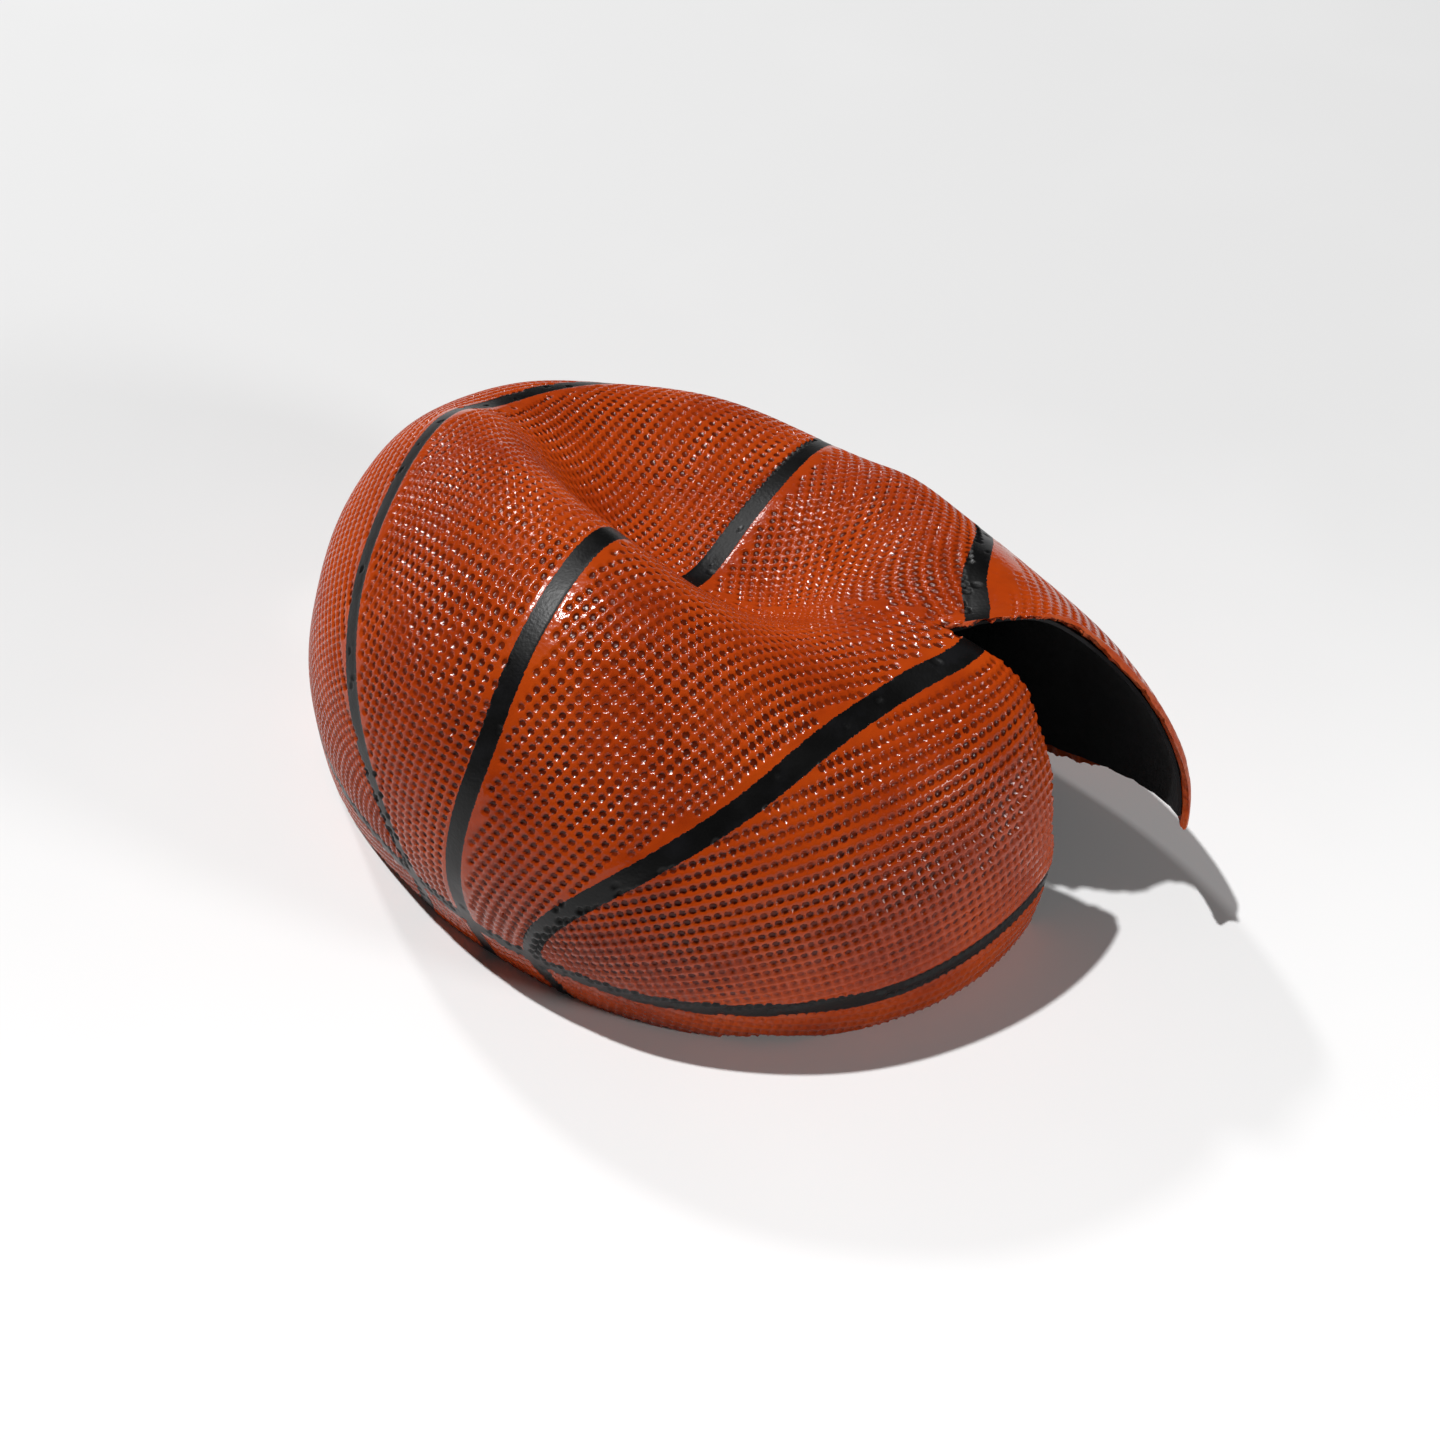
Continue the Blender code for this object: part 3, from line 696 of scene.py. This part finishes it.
def crown_piece(top_row):
    """The closed piece in the middle of the crown; top_row holds what it shares with the sectors."""
    piece = Piece()
    falls, counts = crown_rings()
    turns = [TEAR_TURN - 360.0 * np.arange(count) / count for count in counts]
    turn = np.concatenate([[TEAR_TURN], *turns])
    fall = np.concatenate([[0.0], *(np.full(count, level) for count, level in zip(counts, falls))])
    skin, deep, paint, pit = dressed(turn, fall)
    for values, shared in zip((skin, deep, paint, pit), top_row):
        values[-COLUMNS:] = shared[:-1]
    numbers = piece.add(skin, paint, pit)
    rings = np.split(numbers[1:], np.cumsum(counts)[:-1])
    first = rings[0]
    piece.faces.extend(np.stack([np.zeros_like(first), np.roll(first, -1), first], axis=1).tolist())
    for upper, lower in zip(rings, rings[1:]):
        upper_next = np.roll(upper, -1)
        if len(upper) == len(lower):
            strip = [np.stack([upper, upper_next, np.roll(lower, -1), lower], axis=1)]
        else:
            start, middle, end = lower[::2], lower[1::2], np.roll(lower[::2], -1)
            strip = [np.stack(corners, axis=1) for corners in
                     ((upper, upper_next, middle), (upper, middle, start), (upper_next, end, middle))]
        for faces in strip:
            piece.faces.extend(faces.tolist())
    first_torn = len(piece.faces)
    rim, inside = slice(-COLUMNS, None), rings[-COARSE]
    spread = inside[np.arange(COLUMNS) * len(inside) // COLUMNS]
    last = piece.wall(rings[-1], skin[rim], deep[rim], skin[spread], np.zeros(COLUMNS), paint[rim])
    torn = np.arange(first_torn, len(piece.faces))
    step = COLUMNS // COARSE
    inner = [last]
    for level in range(CROWN_ROWS - COARSE, COARSE, -COARSE):
        ring = rings[level - 1]
        picked = ring[np.arange(step) * len(ring) // step] if len(ring) >= step else ring
        inner.append(piece.add(deep[picked]))
    pole = piece.add(deep[:1])[0]
    for outer, nearer in zip(inner, inner[1:]):
        ratio = len(outer) // len(nearer)
        for index in range(len(nearer)):
            along = [outer[(index * ratio + offset) % len(outer)] for offset in range(ratio + 1)]
            piece.faces.append([int(n) for n in (*along, nearer[(index + 1) % len(nearer)], nearer[index])])
    ring = inner[-1]
    piece.faces.extend([int(pole), int(a), int(b)] for a, b in zip(ring, np.roll(ring, -1)))
    return piece.build("cover_crown", torn)


def roughness_map(turn, fall):
    """How far the torn face would crumble at each spot: worst high on the back lip."""
    on_back_lip = turn < TEAR_TURN - 360 + RAGGED_REACH
    on_lip = (fall > TEAR_TOP_FALL) & ((turn > TEAR_TURN - RAGGED_REACH) | on_back_lip)
    high = np.clip((FLAP_RAGGED_END - fall) / FLAP_RAGGED_EASE, 0, 1) * on_back_lip
    at_rim = np.where(fall > RIM_FALL - RIM_RAGGED_REACH, TORN_RAGGED, 0)
    return np.where(on_lip, TORN_RAGGED + (FLAP_RAGGED - TORN_RAGGED) * high, at_rim)


def build_cover():
    """The four sectors of the cover and the piece in the middle of the crown."""
    turn, fall = side_angles()
    skin, deep, paint, pit = dressed(turn, fall)
    closed = fall[:, 0] <= TEAR_TOP_FALL
    for values in (skin, deep, paint, pit):
        values[closed, -1] = values[closed, 0]
    rough = roughness_map(turn, fall)
    raw = back_lip_distance(turn, fall) < RAW_WIDTH + ragged(ROWS + 1, RAW_SEED, *RAW_TEETH)[:, None]
    step = COLUMNS // SECTORS
    pieces = []
    for sector in range(SECTORS):
        part = np.s_[:, sector * step:(sector + 1) * step + 1]
        maps = (values[part] for values in (skin, deep, paint, pit, rough, raw))
        pieces.append(side_piece(sector, *maps))
    pieces.append(crown_piece((skin[0], deep[0], paint[0], pit[0])))
    for piece in pieces:
        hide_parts("cover")


# ---------------------------------------------------------------- the black ply inside

LINING_COLUMNS = 240
LINING_RINGS = 180          # of a whole ball, one to a degree
LINING_STOP = 1             # degrees by which the ply falls short of the rim
HALF_RING = 0.5             # degrees of half the way from one ring to the next
FRAY = 0.5
HAIR = 0.01                 # degrees within which a point counts as on the tear


def build_lining():
    """A ball cut off at the rim and ripped along the tear, moved by the map, and given its thickness.

    Its points count in millimetres until the map has placed them.
    """
    bpy.ops.mesh.primitive_uv_sphere_add(segments=LINING_COLUMNS, ring_count=LINING_RINGS, radius=BALL_RADIUS)
    lining = bpy.context.active_object
    lining.name = "lining_inside"
    mesh = bmesh.new()
    mesh.from_mesh(lining.data)
    stop = BALL_RADIUS * math.cos(math.radians(RIM_FALL - LINING_STOP + HALF_RING))
    bmesh.ops.delete(mesh, geom=[vert for vert in mesh.verts if vert.co.z < stop], context="VERTS")
    rip(mesh)
    mesh.verts.index_update()
    turn, fall = ball_angles(mesh)
    turn = slanted(turn, fall)
    fray = ragged(len(turn), FRAY_SEED, FRAY, 0.0) / PER_DEGREE
    fall = np.minimum(fall, RIM_FALL - LINING_STOP + fray)
    places = place_skin(turn, fall) - outward(turn, fall) * (COVER_THICKNESS + LINING_GAP)
    places[:, 2] = np.maximum(places[:, 2], LINING_LIFT)
    for vert, place in zip(mesh.verts, places):
        vert.co = place * MM
    mesh.to_mesh(lining.data)
    mesh.free()
    thickness = lining.modifiers.new("thickness", "SOLIDIFY")
    thickness.thickness = LINING_THICKNESS * MM
    thickness.offset = -1.0
    bpy.ops.object.modifier_apply(modifier=thickness.name)
    lining.data.materials.append(black_ply())
    smooth(lining)
    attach(lining, "root")
    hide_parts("lining")


def ball_turn(point):
    """The turn of a point of the ball, from the front lip (99) down to the back lip (-261)."""
    turn = math.degrees(math.atan2(point.x, -point.y))
    return turn - 360 if turn > TEAR_TURN + HAIR else turn


def ball_fall(point):
    """The fall of a point of the ball, from the crown (0) down."""
    return math.degrees(math.acos(max(-1.0, min(1.0, point.z / BALL_RADIUS))))


def rip(mesh):
    """Splits the ball along the meridian of the tear, from its top down to the rim."""
    def torn(vert):
        return ball_fall(vert.co) > TEAR_TOP_FALL - HAIR and abs(ball_turn(vert.co) - TEAR_TURN) < HAIR
    edges = [edge for edge in mesh.edges if torn(edge.verts[0]) and torn(edge.verts[1])]
    bmesh.ops.split_edges(mesh, edges=edges)


def ball_angles(mesh):
    """Turns and falls of all points; a point of the rip takes the side that its faces are on."""
    turns, falls = [], []
    for vert in mesh.verts:
        turn, fall = ball_turn(vert.co), ball_fall(vert.co)
        if abs(turn - TEAR_TURN) < HAIR and fall > TEAR_TOP_FALL + HALF_RING:
            side = ball_turn(vert.link_faces[0].calc_center_median())
            turn = TEAR_TURN if side > 0 else TEAR_TURN - 360
        turns.append(turn)
        falls.append(fall)
    return np.array(turns), np.array(falls)


# ---------------------------------------------------------------- finishes

RUBBER_DARK = (0.26, 0.024, 0.002, 1.0)
RUBBER_MAIN = (0.41, 0.044, 0.003, 1.0)
RUBBER_LIGHT = (0.49, 0.064, 0.004, 1.0)
# The pits' colour: dirt and painted shade, darkest on their floors.
PIT_DIRT_AND_SHADE = (0.075, 0.007, 0.001, 1.0)
STRIPE_BLACK = (0.002, 0.002, 0.002, 1.0)
STRIPE_GREY = (0.006, 0.006, 0.007, 1.0)
RAW_MAIN = (0.47, 0.088, 0.024, 1.0)
# Painted shade for the holes of a torn face.
RAW_HOLE_SHADE = (0.060, 0.016, 0.010, 1.0)
PLY_BLACK = (0.006, 0.006, 0.007, 1.0)
PLY_DUST = (0.018, 0.018, 0.019, 1.0)
# The floor's two colours are painted light: the shaded one at the back, the lit one at the front.
FLOOR_PAINTED_LIGHT = (0.93, 0.93, 0.93, 1.0)
FLOOR_PAINTED_SHADE = (0.70, 0.70, 0.70, 1.0)
# How many millimetres across the patches of each kind are.
# The third size is for the patches of the pits' dirt and painted shade.
BLOTCH, MOTTLE, PIT_DIRT_AND_SHADE_PATCH, FADE, GLOSS = 34, 6, 17, 9, 12
DIMPLE, SKIN, STRIPE_BAY = 2.0, 0.9, 1.1
TORN_CRUMB, TORN_STREAK = 1.8, 4.5
PLY_DUSTING, PLY_GRAIN = 22, 0.8
FLOOR_PATCH = 160
GLOSSY, DULL = 0.14, 0.23   # roughness of the cover's glossiest and dullest patches
PIT_CLEAN, PIT_DULL = 0.13, 0.26        # the least roughness at a pit's edge and at its floor
STRIPE_DULL = 0.20          # how much rougher the paint is
DIMPLE_ON_RUBBER, DIMPLE_ON_PAINT = 3.2, 0.6    # how strong the dimples are beside the fine unevenness
SKIN_RELIEF, CRUMB_RELIEF, PLY_RELIEF = 0.05, 0.9, 0.08
RUBBER_SHINE, TORN_SHINE, PLY_SHINE, FLOOR_SHINE = 0.22, 0.2, 0.3, 0.2
FLOOR_ROUGHNESS = 0.75
FLOOR_BACK, FLOOR_FRONT = 0.25, -0.30   # metres along Y from which and to which painted light makes the floor paler


class Finish:
    """A material and its node tree, with short calls to add nodes and join them."""

    def __init__(self, name):
        self.material = bpy.data.materials.new(name)
        self.material.use_nodes = True
        self.nodes, self.links = self.material.node_tree.nodes, self.material.node_tree.links
        self.shader = self.nodes["Principled BSDF"]
        self.object_place = self.nodes.new("ShaderNodeTexCoord").outputs["Object"]

    def put(self, socket, value):
        """Sets a socket, or joins another node's output to it."""
        if isinstance(value, bpy.types.NodeSocket):
            self.links.new(value, socket)
        else:
            socket.default_value = value

    def noise(self, size, detail, roughness=0.5):
        """Smooth noise whose blotches are about this many millimetres across."""
        node = self.nodes.new("ShaderNodeTexNoise")
        node.inputs["Scale"].default_value = 1 / (size * MM)
        node.inputs["Detail"].default_value = detail
        node.inputs["Roughness"].default_value = roughness
        self.links.new(self.object_place, node.inputs["Vector"])
        return node.outputs["Fac"]

    def share(self, value, start, end, low=0.0, high=1.0):
        """Runs from low to high as the value goes from start to end."""
        node = self.nodes.new("ShaderNodeMapRange")
        node.interpolation_type = "SMOOTHSTEP"
        names = ("Value", "From Min", "From Max", "To Min", "To Max")
        for name, number in zip(names, (value, start, end, low, high)):
            self.put(node.inputs[name], number)
        return node.outputs["Result"]

    def patches(self, size, detail, start, end, low=0.0, high=1.0, roughness=0.5):
        """Patches this many millimetres across, from low to high as their noise goes from start to end."""
        return self.share(self.noise(size, detail, roughness), start, end, low, high)

    def combine(self, operation, first, second):
        """The sum, product or greater of two values."""
        node = self.nodes.new("ShaderNodeMath")
        node.operation = operation
        self.put(node.inputs[0], first)
        self.put(node.inputs[1], second)
        return node.outputs["Value"]

    def mix(self, share, first, second):
        """The first colour where the share is 0, the second where it is 1."""
        node = self.nodes.new("ShaderNodeMix")
        node.data_type = "RGBA"
        colours = [socket for socket in node.inputs if socket.type == "RGBA"]
        self.put(node.inputs["Factor"], share)
        self.put(colours[0], first)
        self.put(colours[1], second)
        return [socket for socket in node.outputs if socket.type == "RGBA"][0]

    def surface(self, colour, roughness, shine):
        """Colour, roughness and strength of the gleams."""
        self.put(self.shader.inputs["Base Color"], colour)
        self.put(self.shader.inputs["Roughness"], roughness)
        self.shader.inputs["Specular IOR Level"].default_value = shine

    def bump(self, height, depth):
        """Bump whose full height is this many millimetres deep."""
        node = self.nodes.new("ShaderNodeBump")
        node.inputs["Distance"].default_value = depth * MM
        self.put(node.inputs["Height"], height)
        self.links.new(node.outputs["Normal"], self.shader.inputs["Normal"])

    def painted(self, label):
        """A value that the piece's points carry."""
        node = self.nodes.new("ShaderNodeAttribute")
        node.attribute_name = label
        return node.outputs["Fac"]


FINISHES = {}


def finish_once(make):
    """Keeps one material for all the pieces that ask for it."""
    def kept():
        if make.__name__ not in FINISHES:
            FINISHES[make.__name__] = make().material
        return FINISHES[make.__name__]
    return kept


@finish_once
def pebbled_rubber():
    """Worn orange rubber with dirt and painted shade darkening its pits, and black stripes painted on it."""
    rubber = Finish("pebbled_rubber")
    colour = rubber.mix(rubber.patches(BLOTCH, 4, 0.35, 0.68), RUBBER_DARK, RUBBER_LIGHT)
    colour = rubber.mix(rubber.patches(MOTTLE, 3, 0.30, 0.70, 0.75, 0.25), colour, RUBBER_MAIN)
    pit = rubber.painted("pit")
    # The pits are darkened with dirt and painted shade, most on their floors, in patches.
    dirt_and_shade = rubber.patches(PIT_DIRT_AND_SHADE_PATCH, 3, 0.36, 0.62, 0.4, 0.95)
    colour = rubber.mix(rubber.combine("MULTIPLY", rubber.share(pit, 0.5, 1.0), dirt_and_shade), colour, PIT_DIRT_AND_SHADE)
    bays = rubber.patches(STRIPE_BAY, 4, 0.3, 0.7, -0.2, 0.2, roughness=0.7)
    stripe = rubber.share(rubber.combine("ADD", rubber.painted("paint"), bays), -0.06, 0.06)
    black = rubber.mix(rubber.patches(FADE, 4, 0.45, 0.75), STRIPE_BLACK, STRIPE_GREY)
    gloss = rubber.patches(GLOSS, 4, 0.3, 0.7, GLOSSY, DULL)
    dull = rubber.combine("MAXIMUM", gloss, rubber.share(pit, 0.3, 1.0, PIT_CLEAN, PIT_DULL))
    dull = rubber.combine("ADD", dull, rubber.combine("MULTIPLY", stripe, STRIPE_DULL))
    rubber.surface(rubber.mix(stripe, colour, black), dull, RUBBER_SHINE)
    dimple_height = rubber.share(stripe, 0.0, 1.0, DIMPLE_ON_RUBBER, DIMPLE_ON_PAINT)
    dimples = rubber.combine("MULTIPLY", rubber.noise(DIMPLE, 1), dimple_height)
    rubber.bump(rubber.combine("ADD", rubber.noise(SKIN, 1), dimples), SKIN_RELIEF)
    return rubber


@finish_once
def torn_rubber():
    """Raw rubber of a torn face, with painted shade in the holes where it crumbles most."""
    rubber = Finish("torn_rubber")
    crumb = rubber.noise(TORN_CRUMB, 4, 0.6)
    colour = rubber.mix(rubber.patches(TORN_STREAK, 3, 0.3, 0.7), RAW_MAIN, RUBBER_MAIN)
    crumbled = rubber.share(rubber.painted("pit"), 0.3, 1.0, 0.15, 1.0)
    # Painted shade darkens the low spots of the crumbs' bump, as in holes.
    hole_shade = rubber.combine("MULTIPLY", rubber.share(crumb, 0.46, 0.36), crumbled)
    rubber.surface(rubber.mix(hole_shade, colour, RAW_HOLE_SHADE), rubber.share(crumb, 0.3, 0.7, 0.7, 0.42), TORN_SHINE)
    rubber.bump(rubber.combine("MULTIPLY", crumb, crumbled), CRUMB_RELIEF)
    return rubber


@finish_once
def black_ply():
    """Matt black ply with patches of dust."""
    ply = Finish("black_ply")
    dust = ply.noise(PLY_DUSTING, 4)
    colour = ply.mix(ply.share(dust, 0.4, 0.75), PLY_BLACK, PLY_DUST)
    ply.surface(colour, ply.share(dust, 0.3, 0.7, 0.62, 0.8), PLY_SHINE)
    ply.bump(ply.noise(PLY_GRAIN, 3, 0.6), PLY_RELIEF)
    return ply


@finish_once
def pale_floor():
    """A pale floor, with painted light that makes it paler towards the front, and faint patches of tone."""
    floor = Finish("pale_floor")
    apart = floor.nodes.new("ShaderNodeSeparateXYZ")
    floor.put(apart.inputs["Vector"], floor.object_place)
    # Painted light: the floor runs from its shaded colour at the back to its lit colour at the front.
    painted_light_ramp = floor.share(apart.outputs["Y"], FLOOR_BACK, FLOOR_FRONT)
    painted_light_and_tone = floor.combine("ADD", painted_light_ramp, floor.patches(FLOOR_PATCH, 3, 0.3, 0.7, -0.04, 0.04))
    floor.surface(floor.mix(painted_light_and_tone, FLOOR_PAINTED_SHADE, FLOOR_PAINTED_LIGHT), FLOOR_ROUGHNESS, FLOOR_SHINE)
    return floor


# ---------------------------------------------------------------- floor, light and camera

CAMERA_PLACE = (-3.6, -634.1, 633.1)    # the camera is in millimetres, the lamps and the floor in metres
CAMERA_AIM = (-3.6, 30.7, 0.0)
CAMERA_LENS, CAMERA_SENSOR = 69.3, 36.0
KEY_FROM = (-0.35, 0.056, 1.0)       # the way to the key light
KEY_DISTANCE, KEY_SIZE, KEY_POWER = 6.0, 0.15, 320.0
SOFT_FROM = (-0.38, 0.61, 0.69)      # the way to the soft light behind, whose gleam lies on the crown
SOFT_DISTANCE, SOFT_SIZE, SOFT_POWER = 2.6, 0.19, 15.0
FRONT_FROM = (0.85, -0.50, 0.35)     # the way to a weak low light that fills the front
FRONT_DISTANCE, FRONT_SIZE, FRONT_POWER = 2.6, 0.5, 23.0
LAMP_AIM = (0.0, 0.0, 0.05)
FILL_STRENGTH = 0.04
FLOOR_SIZE = 8.0


def aimed(name, data, place, aim):
    """A lamp or camera that looks from its place at its aim, both in metres."""
    thing = bpy.data.objects.new(name, data)
    bpy.context.scene.collection.objects.link(thing)
    thing.location = place
    thing.rotation_euler = (Vector(aim) - Vector(place)).to_track_quat("-Z", "Y").to_euler()
    return thing


def add_lamp(name, way, distance, size, power):
    """A round lamp that shines on the part from a way off, its distance and size in metres."""
    lamp = bpy.data.lights.new(name, "AREA")
    lamp.shape = "DISK"
    lamp.size = size
    lamp.energy = power
    aimed(name, lamp, (unit(np.array([way]))[0] * distance).tolist(), LAMP_AIM)


def build_stage():
    """The floor, the lamps, the faint light all round and the camera."""
    bpy.ops.mesh.primitive_plane_add(size=FLOOR_SIZE, location=(0.0, 0.0, 0.0))
    floor = bpy.context.active_object
    floor.name = "floor"
    floor.data.materials.append(pale_floor())
    add_lamp("key", KEY_FROM, KEY_DISTANCE, KEY_SIZE, KEY_POWER)
    add_lamp("soft", SOFT_FROM, SOFT_DISTANCE, SOFT_SIZE, SOFT_POWER)
    add_lamp("front", FRONT_FROM, FRONT_DISTANCE, FRONT_SIZE, FRONT_POWER)
    world = bpy.data.worlds.new("studio")
    world.use_nodes = True
    fill = world.node_tree.nodes["Background"].inputs
    fill["Color"].default_value = (1.0, 1.0, 1.0, 1.0)
    fill["Strength"].default_value = FILL_STRENGTH
    bpy.context.scene.world = world
    bpy.context.scene.view_settings.view_transform = "Standard"
    camera = bpy.data.cameras.new("camera")
    camera.lens = CAMERA_LENS
    camera.sensor_width = CAMERA_SENSOR
    place, aim = ([value * MM for value in spot] for spot in (CAMERA_PLACE, CAMERA_AIM))
    bpy.context.scene.camera = aimed("camera", camera, place, aim)


build_cover()
build_lining()
build_stage()
